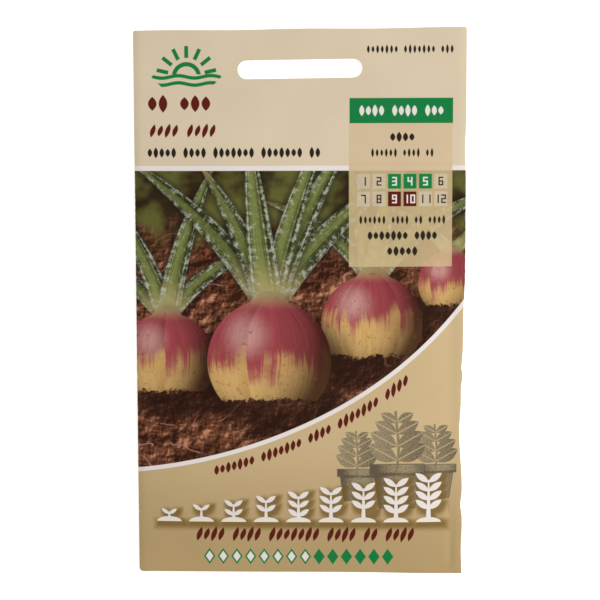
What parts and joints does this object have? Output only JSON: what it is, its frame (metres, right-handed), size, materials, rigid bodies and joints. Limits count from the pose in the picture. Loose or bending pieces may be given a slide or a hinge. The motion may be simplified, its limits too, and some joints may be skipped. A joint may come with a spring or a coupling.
{
  "type": "seed packet",
  "caption": "Flat printed paper packet with a glued header and a long hang slot, pillowed over a sealed foil sachet of seeds.",
  "frame": {"origin": "under the middle of the packet, on the surface it lies on", "axes": "+X across the packet to the glued side seam, +Y up the packet to the header and its hang slot, +Z out of the printed front, up from the surface it lies on"},
  "size_m": [0.085, 0.1414, 0.0032],
  "materials": {
    "printed_paper": "satin",
    "sachet_foil": "satin",
    "seed_coat": "matte"
  },
  "bodies": {
    "root": {"paper_packet": "printed_paper", "sachet_back_film": "sachet_foil", "sachet_front_film": "sachet_foil", "seeds": "seed_coat"}
  },
  "joints": []
}
